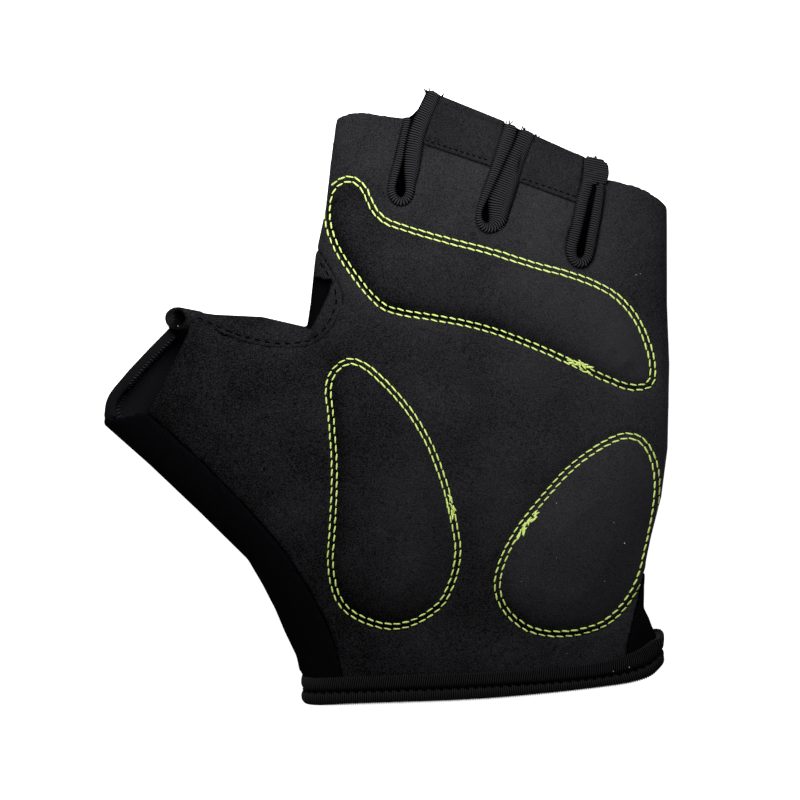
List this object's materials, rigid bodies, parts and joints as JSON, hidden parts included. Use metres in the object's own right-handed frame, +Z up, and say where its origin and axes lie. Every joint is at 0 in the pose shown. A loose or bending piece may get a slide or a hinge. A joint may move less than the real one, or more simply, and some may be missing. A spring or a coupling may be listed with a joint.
{
  "type": "cycling glove",
  "caption": "Half-finger cycling glove for the left hand: suede palm with stitched cushions, knit back, ribbed finger tapes and a bound wrist.",
  "frame": {"origin": "on the surface that the glove lies on, under the middle of its box", "axes": "+Z up, out of the palm; +Y from the wrist to the fingers; +X from the thumb to the little finger"},
  "size_m": [0.1526, 0.1664, 0.0249],
  "materials": {
    "palm_suede": "brushed microfibre suede, matt, fine mottled grain, charcoal black",
    "pad_suede": "the same microfibre suede, drawn over foam, matt",
    "band_suede": "microfibre suede facing, matt, edge-stitched in black",
    "back_knit": "fine stretch knit, nearly black, soft sheen",
    "ribbed_tape": "ribbed elastic tape, black, low satin sheen on the ribs",
    "ribbed_binding": "ribbed binding tape in two rows, black, low satin sheen",
    "contrast_thread": "twisted sewing thread, bright yellow green, slightly fuzzy",
    "black_thread": "twisted sewing thread, black"
  },
  "bodies": {
    "root": {"palm_panel": "palm_suede", "back_panel": "back_knit", "thumb_gusset": "palm_suede", "thumb_hem": "back_knit", "tape_index_middle": "ribbed_tape", "tape_middle_ring": "ribbed_tape", "tape_ring_little": "ribbed_tape", "middle_finger_band": "band_suede", "ring_finger_band": "band_suede", "knuckle_pad": "pad_suede", "thumb_pad": "pad_suede", "heel_pad": "pad_suede", "wrist_binding": "ribbed_binding"}
  },
  "joints": []
}
